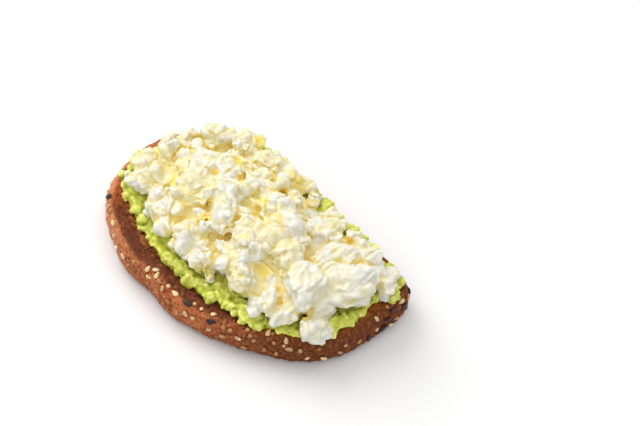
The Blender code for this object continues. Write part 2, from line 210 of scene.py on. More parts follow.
def draw_up(columns, rings, point_at):
    """A closed body: a disc whose rim is drawn up ring by ring, each ring to the places of a rule."""
    bpy.ops.object.select_all(action="DESELECT")
    bpy.ops.mesh.primitive_circle_add(vertices=columns, radius=0.05, fill_type="NGON", location=(0, 0, 0))
    piece = bpy.context.object
    bpy.ops.object.mode_set(mode="EDIT")
    bpy.ops.mesh.select_all(action="SELECT")
    for number, ring in enumerate(rings):
        if number:
            bpy.ops.mesh.extrude_region_move(TRANSFORM_OT_translate={"value": (0, 0, MM)})
        cage = bmesh.from_edit_mesh(piece.data)
        for vertex in cage.verts:
            if vertex.select:
                vertex.co = point_at(math.atan2(vertex.co.y, vertex.co.x), *ring)
        bmesh.update_edit_mesh(piece.data)
    bpy.ops.mesh.select_all(action="SELECT")
    bpy.ops.mesh.normals_make_consistent(inside=False)
    bpy.ops.object.mode_set(mode="OBJECT")
    return piece


crust_rings = [(inset * MM, height * MM) for inset, height in CRUST_SECTION]
bread = draw_up(SLICE_COLUMNS, crust_rings, crust_point)
bread.name = "toasted_bread"
rounding = bread.modifiers.new("rounding", "SUBSURF")
rounding.levels = ROUNDING_LEVELS
rounding.render_levels = ROUNDING_LEVELS
apply_all(bread)


def pucker(point, wavelength, seed):
    """Puffy folds: 0 along a crease, 1 on a crest, bent so that no two run alike."""
    bend = Vector(ripple(point, 2.3 * wavelength, seed + step) for step in (1, 2, 3)) * 0.7 * wavelength
    bent = point + bend
    return min(1.0, 2.4 * abs(ripple(bent, wavelength, seed)))


def fade(value, low, high):
    """A smooth step from 0 at low to 1 at high."""
    share = max(0.0, min(1.0, (value - low) / (high - low)))
    return share * share * (3.0 - 2.0 * share)


def carve(piece, depth_at):
    """Moves every point of a piece along its normal by what a rule gives for it."""
    moves = [vertex.normal * depth_at(vertex.co) for vertex in piece.data.vertices]
    for vertex, move in zip(piece.data.vertices, moves):
        vertex.co += move
    piece.data.update()


def slice_inset(point):
    """How far a point lies inside the slice's outline, in mm."""
    radius = outline_radius(SLICE_RADII, math.atan2(point.y, point.x))
    return (radius - math.hypot(point.x, point.y)) / MM


def crumb_share_at(point):
    """1 on the cut faces, 0 on the crust, with a ragged edge between."""
    edge = slice_inset(point) + 1.5 * ripple(point, 4 * MM, 12.0)
    return fade(edge, 3.6, 5.8) if point.z > 5 * MM else fade(edge, 1.8, 3.4)


def band_share_at(point):
    """1 on the smooth band between the crust's ridge and the spread, which is painted darker, partly scorch
    and partly painted shade; 0 elsewhere.
    """
    if point.z < 12 * MM:
        return 0.0
    edge = slice_inset(point) + 1.2 * ripple(point, 9 * MM, 17.0)
    return fade(edge, 2.6, 4.6) * (1.0 - fade(edge, 9.5, 11.5))


def bread_relief(point):
    """Blisters, wrinkles and pits on the crust, and burst bubbles in the cut faces."""
    on_crumb = crumb_share_at(point)
    bend = Vector(ripple(point, 7 * MM, seed) for seed in (14.0, 15.0, 16.0)) * 1.5 * MM
    bent = point + bend
    depth = 0.0
    if on_crumb < 1.0:
        skin = (
            0.5 * ripple(bent, 4.5 * MM, 20.0)
            + 0.45 * ripple(bent, 2.2 * MM, 24.0)
            + 0.3 * ripple(point, 1.2 * MM, 28.0)
        )
        wrinkle = -0.35 * (1.0 - pucker(bent, 3.4 * MM, 30.0)) ** 2
        pit = fade(ripple(bent, 1.7 * MM, 40.0), 0.25, 0.55)
        depth += (1.0 - on_crumb) * (skin + wrinkle - 0.4 * pit)
    if on_crumb > 0.0:
        uneven = 1.0 + 0.9 * ripple(point, 6 * MM, 45.0)
        near = noise.voronoi(bent / (2.4 * MM * uneven))[0][0] if uneven > 0.3 else 1.0
        bubble = fade(0.5 - near, 0.0, 0.35)
        tear = 0.55 * ripple(bent, 2.4 * MM, 50.0) + 0.3 * ripple(point, 1.2 * MM, 55.0)
        depth += on_crumb * ((0.15 + tear - 0.8 * bubble) if point.z > 5 * MM else -0.5 * bubble)
    return depth * MM * (1.0 if point.z > 1.2 * MM or on_crumb > 0.5 else 0.3)


carve(bread, bread_relief)


def skin_of(piece):
    """Points, normals and edges of a piece as arrays."""
    mesh = piece.data
    points = np.empty(len(mesh.vertices) * 3)
    normals = np.empty(len(mesh.vertices) * 3)
    pairs = np.empty(len(mesh.edges) * 2, dtype=np.int32)
    mesh.vertices.foreach_get("co", points)
    mesh.vertices.foreach_get("normal", normals)
    mesh.edges.foreach_get("vertices", pairs)
    return points.reshape(-1, 3), normals.reshape(-1, 3), pairs.reshape(-1, 2)


def even_out(values, pairs, rounds):
    """Averages per-vertex values along the edges of a mesh."""
    if values.ndim > 1:
        return np.stack([even_out(column, pairs, rounds) for column in values.T], axis=1)
    first, second = pairs.T
    count = np.maximum(np.bincount(pairs.ravel(), minlength=len(values)), 1)
    for _ in range(rounds):
        total = np.bincount(first, weights=values[second], minlength=len(values))
        total += np.bincount(second, weights=values[first], minlength=len(values))
        values = 0.5 * values + 0.5 * total / count
    return values


def mark_hollows(piece, name, rounds, depth):
    """Stores how deep each point lies in a hollow: 0.5 on flat, 1 in a hollow, 0 on a crest."""
    points, normals, pairs = skin_of(piece)
    hollow = ((even_out(points, pairs, rounds) - points) * normals).sum(axis=1)
    hollow = even_out(hollow, pairs, 1)
    layer = piece.data.attributes.new(name, "FLOAT", "POINT")
    layer.data.foreach_set("value", np.clip(0.5 + 0.5 * hollow / depth, 0, 1).astype(np.float32))


mark_hollows(bread, "hollow", 6, 0.16 * MM)


def new_material(name):
    """A material with its node tree and its one shader."""
    material = bpy.data.materials.new(name)
    material.use_nodes = True
    return material, material.node_tree, material.node_tree.nodes["Principled BSDF"]


def add_node(tree, kind, settings=None, **inputs):
    """Adds a node, with its settings, and with a value or a link for each input: i0 is the first."""
    node = tree.nodes.new(kind)
    for key, value in (settings or {}).items():
        setattr(node, key, value)
    for key, value in inputs.items():
        socket = node.inputs[int(key[1:])] if key[0] == "i" and key[1:].isdigit() else node.inputs[key]
        if isinstance(value, bpy.types.NodeSocket):
            tree.links.new(value, socket)
        else:
            socket.default_value = value
    return node


def open_group(name, starts, result):
    """Starts a node group with an input for each start value, and one output."""
    group = bpy.data.node_groups.new(name, "ShaderNodeTree")
    for label, start in starts.items():
        kind = "NodeSocketVector" if isinstance(start, tuple) else "NodeSocketFloat"
        group.interface.new_socket(name=label, in_out="INPUT", socket_type=kind).default_value = start
    group.interface.new_socket(name=result, in_out="OUTPUT", socket_type="NodeSocketFloat")
    entry = group.nodes.new("NodeGroupInput").outputs
    return group, entry, group.nodes.new("NodeGroupOutput").inputs[result]


food_patches, entry, mask = open_group(
    "food_patches", {"Scale": 100.0, "Detail": 3.0, "Low": 0.4, "High": 0.6, "Shift": (0.0, 0.0, 0.0)}, "Mask"
)
where = add_node(food_patches, "ShaderNodeTexCoord").outputs["Object"]
moved = add_node(food_patches, "ShaderNodeVectorMath", i0=where, i1=entry["Shift"]).outputs[0]
cloud = add_node(
    food_patches, "ShaderNodeTexNoise", Vector=moved, Scale=entry["Scale"], Detail=entry["Detail"]
).outputs["Fac"]
cut = add_node(
    food_patches, "ShaderNodeMapRange", {"interpolation_type": "SMOOTHSTEP"},
    i0=cloud, i1=entry["Low"], i2=entry["High"],
).outputs["Result"]
food_patches.links.new(cut, mask)

food_grain, entry, height = open_group("food_grain", {"Scale": 1500.0, "Detail": 3.0}, "Height")
where = add_node(food_grain, "ShaderNodeTexCoord").outputs["Object"]
cloud = add_node(
    food_grain, "ShaderNodeTexNoise", Vector=where, Scale=entry["Scale"], Detail=entry["Detail"]
).outputs["Fac"]
food_grain.links.new(cloud, height)


def patches(tree, scale, low, high, detail=3.0, shift=(0.0, 0.0, 0.0)):
    """Soft-edged patches: noise of a size, cut between two levels."""
    return add_node(
        tree, "ShaderNodeGroup", {"node_tree": food_patches},
        Scale=scale, Detail=detail, Low=low, High=high, Shift=shift,
    ).outputs["Mask"]


def fine_grain(tree, shader, scale, detail, strength, depth):
    """A grain too fine for the mesh, which only the light shows."""
    grain = add_node(tree, "ShaderNodeGroup", {"node_tree": food_grain}, Scale=scale, Detail=detail)
    bump = add_node(tree, "ShaderNodeBump", Strength=strength, Distance=depth, Height=grain.outputs["Height"])
    tree.links.new(bump.outputs["Normal"], shader.inputs["Normal"])


def uneven_gloss(tree, shader, scale, low, high, glossiest, dullest):
    """Patches of a moister or drier skin."""
    where = patches(tree, scale, low, high)
    rough = add_node(tree, "ShaderNodeMapRange", i0=where, i1=0.0, i2=1.0, i3=glossiest, i4=dullest)
    tree.links.new(rough.outputs["Result"], shader.inputs["Roughness"])


def blend_colours(tree, share, first, second):
    """Mixes two colours by a mask."""
    node = tree.nodes.new("ShaderNodeMix")
    node.data_type = "RGBA"
    for socket, value in ((node.inputs[0], share), (node.inputs[6], first), (node.inputs[7], second)):
        if isinstance(value, bpy.types.NodeSocket):
            tree.links.new(value, socket)
        elif isinstance(value, tuple):
            socket.default_value = (*value, 1.0)
        else:
            socket.default_value = value
    return node.outputs[2]


def level(tree, value, low, high, top=1.0):
    """Turns a value's part between two levels into a mask from 0 to top."""
    return add_node(
        tree, "ShaderNodeMapRange", {"interpolation_type": "SMOOTHSTEP"},
        i0=value, i1=low, i2=high, i3=0.0, i4=top,
    ).outputs["Result"]


def attribute(tree, name):
    """What a piece stores for each point under a name."""
    return add_node(tree, "ShaderNodeAttribute", {"attribute_name": name}).outputs["Fac"]


def layered(tree, colour, *coats):
    """Lays colours over a first one, each by its own mask."""
    for coat_mask, coat in coats:
        colour = blend_colours(tree, coat_mask, colour, coat)
    return colour


def object_axes(tree):
    """The place of a point on the toast, as X, Y and Z."""
    where = add_node(tree, "ShaderNodeTexCoord").outputs["Object"]
    return add_node(tree, "ShaderNodeSeparateXYZ", Vector=where).outputs


def share_of(tree, first, second):
    """One mask times another, or times a number."""
    return add_node(tree, "ShaderNodeMath", {"operation": "MULTIPLY"}, i0=first, i1=second).outputs[0]


crust_bake, tree, shader = new_material("seeded_crust")
hollow = attribute(tree, "hollow")
axes = object_axes(tree)
# Painted light: the left front of the crust faces the window light and is painted paler, as a painted
# highlight and sheen.
painted_light_left_front = share_of(
    tree, level(tree, axes["X"], -0.010, -0.060, 0.62), level(tree, axes["Y"], 0.012, -0.012)
)
crust = blend_colours(tree, patches(tree, 60, 0.36, 0.66), (0.33, 0.080, 0.024), (0.50, 0.155, 0.052))
crust = layered(
    tree, crust,
    (patches(tree, 210, 0.42, 0.70), (0.25, 0.058, 0.019)),
    (patches(tree, 480, 0.60, 0.74, 4.0), (0.60, 0.24, 0.085)),
    (patches(tree, 820, 0.62, 0.70), (0.72, 0.41, 0.18)),
    (patches(tree, 640, 0.62, 0.72, 3.0, (0.3, 0.1, 0.2)), (0.11, 0.028, 0.012)),
    # Painted shade: the crust is painted darker towards its foot, next to the tabletop.
    (level(tree, axes["Z"], 0.006, 0.0, 0.5), (0.14, 0.034, 0.013)),
    # Painted shade: the crust's right end faces away from the window light and is painted darker.
    (level(tree, axes["X"], 0.01, 0.055, 0.85), (0.155, 0.039, 0.009)),
    # Painted highlight and sheen on the left front, where the window light falls.
    (painted_light_left_front, (0.66, 0.30, 0.15)),
    # Painted shade in the crust's hollows and pits.
    (level(tree, hollow, 0.60, 0.96, 0.7), (0.10, 0.024, 0.010)),
    # Painted highlight on the crust's crests.
    (level(tree, hollow, 0.40, 0.08, 0.4), (0.58, 0.215, 0.075)),
    # More painted shade on the crust's right end, away from the window light.
    (level(tree, axes["X"], 0.028, 0.058, 0.5), (0.11, 0.028, 0.005)),
)
crumb = blend_colours(tree, patches(tree, 110, 0.36, 0.62), (0.15, 0.036, 0.011), (0.27, 0.075, 0.020))
crumb = layered(
    tree, crumb,
    (level(tree, axes["X"], 0.035, 0.06, 0.9), (0.37, 0.110, 0.007)),
    (level(tree, axes["X"], -0.045, -0.062, 0.8), (0.45, 0.115, 0.026)),
    (patches(tree, 380, 0.57, 0.68), (0.48, 0.21, 0.045)),
    # Painted shade in the crumb's hollows and burst bubbles.
    (level(tree, hollow, 0.56, 0.88, 0.85), (0.06, 0.017, 0.006)),
    # Painted highlight on the crumb's ridges.
    (level(tree, hollow, 0.44, 0.1, 0.45), (0.46, 0.18, 0.030)),
    (patches(tree, 430, 0.62, 0.72), (0.07, 0.022, 0.010)),
)
# The band between the ridge and the spread is painted dark, partly as scorch and partly as painted shade
# where it dips below the ridge; it is paler towards both ends.
scorch_and_shade = blend_colours(tree, level(tree, axes["X"], 0.03, 0.055), (0.13, 0.030, 0.012), (0.28, 0.085, 0.013))
scorch_and_shade = layered(
    tree, scorch_and_shade,
    (level(tree, axes["X"], -0.045, -0.062), (0.42, 0.088, 0.020)),
    (patches(tree, 330, 0.50, 0.70), (0.055, 0.016, 0.007)),
    (patches(tree, 460, 0.62, 0.74), (0.45, 0.17, 0.045)),
)
skin = layered(
    tree, crust,
    (attribute(tree, "crumb_share"), crumb),
    (share_of(tree, attribute(tree, "band_share"), 0.85), scorch_and_shade),
)
tree.links.new(skin, shader.inputs["Base Color"])
shader.inputs["Specular IOR Level"].default_value = 0.14
uneven_gloss(tree, shader, 420, 0.3, 0.7, 0.5, 0.8)
fine_grain(tree, shader, 1900.0, 4.0, 0.45, 0.0003)
for name, rule in (("crumb_share", crumb_share_at), ("band_share", band_share_at)):
    layer = bread.data.attributes.new(name, "FLOAT", "POINT")
    layer.data.foreach_set("value", [rule(vertex.co) for vertex in bread.data.vertices])
bread.data.materials.clear()
bread.data.materials.append(crust_bake)
bread.data.shade_smooth()
bread.data.transform(Matrix.Translation(CENTRING))
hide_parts("bread_slice")
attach(bread, "root")


# The seeds in the crust
# Sesame, dark flax and round millet, pressed into the dough's domed top before it was baked. Each is
# sunk for a part of its depth, and they lie thickest along the domed side and round both ends.

SEED_SIZES = {"sesame": (3.2, 1.9, 1.3), "flax": (4.7, 2.8, 1.6), "millet": (1.9, 1.7, 1.4)}
SEED_SPOTS = {
    "sesame": (
        (227, 12.5), (238, 12.2), (251, 15.9), (253.6, 17.6), (257, 16.2), (254, 13.0), (261, 15.5),
        (265, 14.5), (273, 17.6), (284, 11.2), (300, 17.6), (307, 14.0), (299, 8.4), (307, 8.2),
        (330, 17.4), (337, 15.3), (328, 7.2), (333, 6.2), (338, 11.4), (351, 4.4), (345, 5.6), (5, 7.6),
        (19.5, 3.8), (21.5, 6.6), (24.5, 14.7), (28, 12.8), (272, 12.0), (315, 10.2), (318, 5.3), (357, 5.8),
        (232, 10.4),
    ),
    "flax": ((283, 16.6), (300, 14.0), (21, 13.2), (18, 9.6), (10, 4.2), (16, 5.2)),
    "millet": (
        (267, 17.6), (287, 17.8), (292, 17.4), (289, 10.9), (311, 13.5), (320, 16.2), (321.5, 14.0),
        (323, 11.9), (332, 17.3), (332, 13.3), (336, 13.0), (349, 12.4), (13, 7.8), (244, 14.7),
        (279, 9.2), (342, 11.1), (359, 10.0),
    ),
}
SCATTERED_SEEDS = {"sesame": 14, "flax": 5, "millet": 7}
SEED_STAND = 0.45 * MM
SEED_GAP = 3.4 * MM


def section_at(run):
    """Inset and height on the crust's section, at a distance in mm up from the underside's edge."""
    for (near, low), (far, high) in zip(CRUST_SECTION[6:], CRUST_SECTION[7:14]):
        length = math.hypot(far - near, high - low)
        if run <= length:
            share = run / length
            return (near + (far - near) * share) * MM, (low + (high - low) * share) * MM
        run -= length
    return CRUST_SECTION[13][0] * MM, CRUST_SECTION[13][1] * MM


def crust_seeds():
    """Every seed as (kind, angle, run, spin, scale): those with a place of their own, then the rest."""
    draw = random.Random(11)
    placed = []
    seeds = []

    def add(kind, angle, run):
        placed.append(crust_point(angle, *section_at(run)))
        seeds.append((kind, angle, run, draw.uniform(0, math.pi), draw.uniform(0.85, 1.15)))

    for kind, spots in SEED_SPOTS.items():
        for degrees, run in spots:
            add(kind, math.radians(degrees), run)
    for kind, count in SCATTERED_SEEDS.items():
        while count:
            angle = math.radians(draw.choice((draw.uniform(150, 224), draw.uniform(-2, 38))))
            run = draw.uniform(2.0, 17.0)
            spot = crust_point(angle, *section_at(run))
            if all((spot - other).length > SEED_GAP for other in placed):
                add(kind, angle, run)
                count -= 1
    return seeds


def join_into(name, shapes):
    """Joins shapes into one piece that lies at the origin."""
    bpy.ops.object.select_all(action="DESELECT")
    for shape in shapes:
        shape.select_set(True)
    bpy.context.view_layer.objects.active = shapes[0]
    bpy.ops.object.join()
    piece = bpy.context.object
    piece.name = name
    bpy.ops.object.transform_apply(location=True, rotation=True, scale=True)
    return piece


crust_skin = BVHTree.FromObject(bread, bpy.context.evaluated_depsgraph_get())
seed_copies = {kind: [] for kind in SEED_SIZES}
seed_patterns = {}
for kind, size in SEED_SIZES.items():
    bpy.ops.object.select_all(action="DESELECT")
    bpy.ops.mesh.primitive_uv_sphere_add(segments=14, ring_count=9, radius=0.5, location=(0, 0, 0))
    grain_shape = bpy.context.object
    for vertex in grain_shape.data.vertices:
        point = vertex.co.copy()
        taper = 1.0 if kind == "millet" else 1.0 - 0.55 * point.z
        ridge = 1.0 + 0.08 * abs(point.x)
        vertex.co = Vector((point.z * size[0], point.x * size[1] * taper, point.y * size[2] * ridge)) * MM
    bpy.ops.object.mode_set(mode="EDIT")
    bpy.ops.mesh.select_all(action="SELECT")
    bpy.ops.mesh.normals_make_consistent(inside=False)
    bpy.ops.object.mode_set(mode="OBJECT")
    grain_shape.data.shade_smooth()
    seed_patterns[kind] = grain_shape
tint_draw = random.Random(5)
for kind, angle, run, spin, scale in crust_seeds():
    here = crust_point(angle, *section_at(run))
    spot = crust_skin.find_nearest(here + CENTRING)[0]
    along = crust_point(angle + 0.01, *section_at(run)) - here
    normal = along.cross(crust_point(angle, *section_at(run + 0.4)) - here).normalized()
    lean = Matrix((along.normalized(), normal.cross(along).normalized(), normal)).transposed().to_4x4()
    copy = seed_patterns[kind].copy()
    copy.data = seed_patterns[kind].data.copy()
    bpy.context.scene.collection.objects.link(copy)
    place = Matrix.Translation(spot + normal * SEED_STAND) @ lean
    copy.data.transform(place @ Matrix.Rotation(spin, 4, "Z") @ Matrix.Scale(scale, 4))
    tint = copy.data.attributes.new("tint", "FLOAT", "POINT")
    value = tint_draw.random()
    for entry in tint.data:
        entry.value = value
    seed_copies[kind].append(copy)
for pattern in seed_patterns.values():
    bpy.data.objects.remove(pattern, do_unlink=True)

for kind, darkest, palest, gloss in (
    ("sesame", (0.40, 0.165, 0.045), (0.84, 0.64, 0.35), 0.42),
    ("flax", (0.020, 0.009, 0.007), (0.055, 0.022, 0.014), 0.42),
    ("millet", (0.38, 0.15, 0.040), (0.76, 0.54, 0.25), 0.42),
):
    seeds = join_into(f"{kind}_seeds", seed_copies[kind])
    hull, tree, shader = new_material(f"{kind}_hull")
    colour = blend_colours(tree, attribute(tree, "tint"), darkest, palest)
    colour = layered(tree, colour, (patches(tree, 900, 0.5, 0.75), tuple(0.55 * part for part in darkest)))
    tree.links.new(colour, shader.inputs["Base Color"])
    shader.inputs["Roughness"].default_value = gloss
    shader.inputs["Specular IOR Level"].default_value = 0.3
    fine_grain(tree, shader, 2600.0, 3.0, 0.3, 0.0002)
    seeds.data.materials.clear()
    seeds.data.materials.append(hull)
    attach(seeds, "root")


# The mashed avocado
# Ripe avocado mashed with a fork and spread nearly to the crust: an even body with soft lumps that
# the fork left along its edge, moist, and paler where the lumps are from the middle of the fruit.

AVOCADO_RADII = (
    64.0, 64.0, 69.5, 56.0, 45.0, 41.2, 40.4, 41.2, 45.6, 53.4, 60.8, 64.5,
    65.5, 67.0, 57.5, 46.5, 41.4, 38.1, 36.5, 36.5, 36.6, 42.8, 48.6, 58.0,
)
SPREAD_THICKNESS = 3.8 * MM
GAP = 0.1 * MM
MASH_GRAIN = 0.55 * MM
SPREAD_COLUMNS = 144
SPREAD_RINGS = ((0.6, -0.8 * MM), (0.98, -0.8 * MM), (1.0, 2.1 * MM), (0.965, 3.5 * MM), (0.8, None))
SURFACE_MARKS = ("hollow", "crumb_share", "band_share")
EDGE_LUMPS = 62
SMALL_LUMPS = 130
BARE_LUMPS = (
    (58.5, -2.5, 19.6, 4.6), (61, 4.5, 19.4, 4.3), (61.5, 12, 18.4, 2.8), (64, 29, 19.5, 4.2),
    (60.5, 35, 19, 3.6), (-62, -20, 17.6, 3.8), (-58, -24, 17.6, 3.2), (-46, -26, 18.6, 4.0),
    (29, -26, 18.6, 4.2),
)


def lump(centre, half_lengths, turn, tilt, folds, seed, detail=4):
    """A soft lump: a sphere of triangles that noise pushes in and out, then stretched and turned."""
    bpy.ops.mesh.primitive_ico_sphere_add(subdivisions=detail, radius=1.0, location=(0, 0, 0))
    piece = bpy.context.object
    place = Matrix.Translation(centre) @ Matrix.Rotation(turn, 4, "Z") @ Matrix.Rotation(tilt, 4, "X")
    for vertex in piece.data.vertices:
        ray = vertex.co.normalized()
        swell = 1.0 + folds * (ripple(ray, 0.85, seed) + 0.6 * ripple(ray, 0.38, seed + 9.0))
        vertex.co = place @ Vector(ray[axis] * half_lengths[axis] * swell for axis in range(3))
    return piece


def spread_point(angle, share, rise):
    """A point of the spread's body, whose last ring is level and has no rise of its own."""
    ragged = 1.1 * MM * ripple(direction(angle) * 55 * MM, 6 * MM, 2.0)
    spot = direction(angle) * (outline_radius(AVOCADO_RADII, angle) + ragged) * share
    if rise is None:
        return Vector((spot.x, spot.y, CRUMB_HEIGHT + SPREAD_THICKNESS))
    wave = 0.5 * MM * ripple(spot, 7 * MM, 4.0) if rise > 0 else 0.0
    return Vector((spot.x, spot.y, slice_top(spot.x, spot.y) + rise + wave))


spread_pieces = [draw_up(SPREAD_COLUMNS, SPREAD_RINGS, spread_point)]
draw = random.Random(23)
for number in range(EDGE_LUMPS):
    angle = math.tau * (number + draw.uniform(0.1, 0.9)) / EDGE_LUMPS
    size = draw.uniform(2.2 * MM, 4.4 * MM)
    radius = outline_radius(AVOCADO_RADII, angle) - draw.uniform(0.2, 1.0) * size
    spot = direction(angle) * radius
    height = slice_top(spot.x, spot.y) + draw.uniform(0.35, 0.75) * SPREAD_THICKNESS
    half_lengths = (size, size * draw.uniform(0.7, 1.1), size * draw.uniform(0.55, 0.8))
    centre = Vector((spot.x, spot.y, height))
    spread_pieces.append(lump(centre, half_lengths, draw.uniform(0, math.pi), 0.0, 0.3, number))
for number, (x, y, z, radius) in enumerate(BARE_LUMPS):
    half_lengths = (radius * MM, radius * 0.8 * MM, radius * 0.7 * MM)
    centre = Vector((x, y, z - 1.0)) * MM
    spread_pieces.append(lump(centre, half_lengths, 0.9 * number, 0.0, 0.3, 200 + number))
draw = random.Random(71)
for number in range(SMALL_LUMPS):
    angle = draw.uniform(0, math.tau)
    size = draw.uniform(1.2 * MM, 2.6 * MM)
    radius = outline_radius(AVOCADO_RADII, angle) * (1.0 - 0.2 * draw.random() ** 1.6) - 0.3 * size
    spot = direction(angle) * radius
    height = slice_top(spot.x, spot.y) + draw.uniform(0.55, 1.05) * SPREAD_THICKNESS
    half_lengths = (size, size * draw.uniform(0.6, 1.0), size * draw.uniform(0.5, 0.8))
    centre = Vector((spot.x, spot.y, height))
    spread_pieces.append(lump(centre, half_lengths, draw.uniform(0, math.pi), 0.0, 0.4, 700 + number, 3))
avocado = join_into("mashed_avocado_spread", spread_pieces)


def run_together(piece, grain):
    """Runs overlapping lumps into one even skin, with a grid of a given size."""
    modifier = piece.modifiers.new("run_together", "REMESH")
    modifier.mode = "VOXEL"
    modifier.voxel_size = grain
    apply_all(piece)


def cut_to(piece, under, gap):
    """Cuts a piece to what it lies on, a small gap clear of it, and hands no marks on from that."""
    cutter = under.copy()
    cutter.data = under.data.copy()
    for name in SURFACE_MARKS:
        if name in cutter.data.attributes:
            cutter.data.attributes.remove(cutter.data.attributes[name])
    bpy.context.scene.collection.objects.link(cutter)
    grow = cutter.modifiers.new("grow", "DISPLACE")
    grow.strength = gap
    grow.mid_level = 0.0
    apply_all(cutter)
    modifier = piece.modifiers.new("cut", "BOOLEAN")
    modifier.operation = "DIFFERENCE"
    modifier.object = cutter
    modifier.solver = "MANIFOLD"
    apply_all(piece)
    bpy.data.objects.remove(cutter, do_unlink=True)


def fill_hollows(piece, rounds, share_at):
    """Lets soft lumps sag into the gaps between them, by a share that a rule gives for each point."""
    points, normals, pairs = skin_of(piece)
    hollow = ((even_out(points, pairs, rounds) - points) * normals).sum(axis=1)
    share = np.array([share_at(vertex.co) for vertex in piece.data.vertices])
    points = points + normals * (share * np.maximum(hollow, 0.0))[:, None]
    piece.data.vertices.foreach_set("co", points.ravel())
    piece.data.update()


run_together(avocado, MASH_GRAIN)
fill_hollows(avocado, 70, lambda point: 0.8)


def mash_relief(point):
    """Fork-mashed flesh: soft clumps with deep creases, and a fine grain."""
    bent = point + Vector(ripple(point, 9 * MM, seed) for seed in (61.0, 62.0, 63.0)) * 2.0 * MM
    return MM * (
        1.3 * (pucker(bent, 6.0 * MM, 60.0) - 0.55)
        + 0.4 * (pucker(bent, 3.2 * MM, 70.0) - 0.5)
        + 0.3 * ripple(bent, 2.2 * MM, 80.0)
        + 0.06 * ripple(point, 1.0 * MM, 85.0)
    )


carve(avocado, mash_relief)
avocado.data.transform(Matrix.Translation(CENTRING))
cut_to(avocado, bread, GAP)
mark_hollows(avocado, "hollow", 10, 0.5 * MM)

avocado_flesh, tree, shader = new_material("ripe_avocado")
hollow = attribute(tree, "hollow")
flesh = blend_colours(tree, patches(tree, 150, 0.35, 0.65), (0.46, 0.50, 0.036), (0.60, 0.62, 0.075))
flesh = layered(
    tree, flesh,
    (patches(tree, 300, 0.54, 0.70), (0.88, 0.83, 0.30)),
    # Painted shade: dark green in the creases between the lumps.
    (level(tree, hollow, 0.53, 0.92, 0.85), (0.16, 0.23, 0.007)),
    # Painted highlight: paler yellow-green on the lumps' crests.
    (level(tree, hollow, 0.42, 0.08, 0.5), (0.80, 0.82, 0.22)),
)
tree.links.new(flesh, shader.inputs["Base Color"])
shader.inputs["Subsurface Weight"].default_value = 0.25
shader.inputs["Subsurface Radius"].default_value = (0.9, 1.0, 0.25)
shader.inputs["Subsurface Scale"].default_value = 0.0012
uneven_gloss(tree, shader, 520, 0.35, 0.7, 0.28, 0.5)
fine_grain(tree, shader, 1500.0, 3.0, 0.35, 0.0003)
avocado.data.materials.clear()
avocado.data.materials.append(avocado_flesh)
avocado.data.shade_smooth()
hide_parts("mashed_avocado")
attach(avocado, "root")


# The scrambled egg
# A loose heap of soft curds. Large smooth folds of white lie at the right, smaller torn and crumbly
# curds at the left, and yolk shows as cream patches. The creases are painted yellow, partly as yolk
# that gathers there and partly as painted shade and glow, and the crests are painted whiter as a
# painted highlight.

EGG_RADII = (
    55.5, 62.5, 65.0, 50.5, 40.0, 36.0, 36.0, 38.5, 43.0, 49.0, 55.5, 58.5,
    60.0, 59.5, 49.0, 40.5, 34.0, 33.0, 30.5, 30.0, 28.5, 33.0, 43.5, 56.0,
)
CURDS = (
    (53.5, 12, 28, 11.5, 10.5, 8.0), (40, -2, 29, 9.5, 12.0, 8.5), (36, -18, 24, 4.2, 8.5, 6.0),
    (44.5, -14.5, 23.5, 5.0, 6.5, 5.0), (51, -2, 24, 7.0, 6.0, 4.5), (58, -11.5, 21.5, 7.0, 6.2, 5.6),
    (61.5, 26.5, 22.5, 4.8, 5.6, 4.5), (57, 31, 22.5, 6.0, 5.0, 4.0), (46, 28.5, 25, 8.0, 7.0, 5.0),
    (39, 21, 27, 8.0, 6.0, 5.5), (23, 22.5, 26.5, 10.0, 7.0, 5.5), (-8, 31, 25.5, 5.0, 8.0, 5.5),
    (-9, 13, 30, 9.0, 8.0, 6.0), (-9, -7, 31, 7.0, 11.0, 7.0), (-11, -25, 26, 8.0, 8.5, 6.5),
    (0, -26, 24, 5.5, 7.5, 6.0), (20, -20, 25, 6.5, 8.5, 6.5), (11, -6, 31, 10.0, 10.0, 7.0),
    (15, 8, 31.5, 9.0, 9.0, 6.5), (3, 13, 31, 9.0, 7.0, 6.0), (-51, -19, 23.5, 8.0, 7.0, 5.5),
    (-56, -11, 24, 8.0, 8.5, 5.8), (-58, 2, 25.5, 4.5, 6.5, 7.0), (-47, 21, 26.5, 8.0, 7.5, 7.0),
    (-28, -5, 30, 9.0, 8.0, 6.0), (-31, -23, 24.5, 7.0, 7.0, 5.5), (-41, 0, 28, 7.0, 6.0, 5.0),
    (-36, 30, 26, 8.0, 6.5, 6.0), (-21, 31, 26, 8.0, 6.5, 5.5), (-27, 13, 29, 8.0, 7.0, 6.0),
    (12, -15, 28, 8.0, 8.0, 6.0), (-28, -16, 28, 7.0, 8.0, 6.0), (-36, 8, 29, 7.0, 6.0, 5.0),
    (37, 12, 28, 6.0, 6.0, 5.0), (-18, 2, 31, 8.0, 8.0, 6.0), (27, 0, 31, 7.0, 7.0, 6.0),
    (-25, -25, 23.5, 6.0, 6.0, 4.8), (-38, -22, 23, 5.0, 5.5, 4.5), (5.5, 36, 21, 3.8, 3.6, 2.8),
    (-58, 12.5, 21.5, 5.0, 6.0, 4.8),
)
YOLK_SPOTS = (
    (-3.7, 32.0, 5.0), (-40.5, -10.1, 4.0), (-11.7, -15.7, 3.5), (-0.7, 8.5, 4.0), (-26.4, 17.3, 4.0),
    (-32.2, 33.1, 3.5), (24.3, -10.6, 3.5),
)
CURD_GRAIN = 0.5 * MM
CORE_COLUMNS = 72
CORE_RINGS = ((0.86, False), (0.88, True), (0.78, True), (0.62, True), (0.4, True), (0.2, True))
CURD_TURN = math.radians(43)
SMALL_CURDS = 84
SMALL_CURD_GAP = 5.6 * MM
CRUMBS = 64
FACED_WAYS = 26


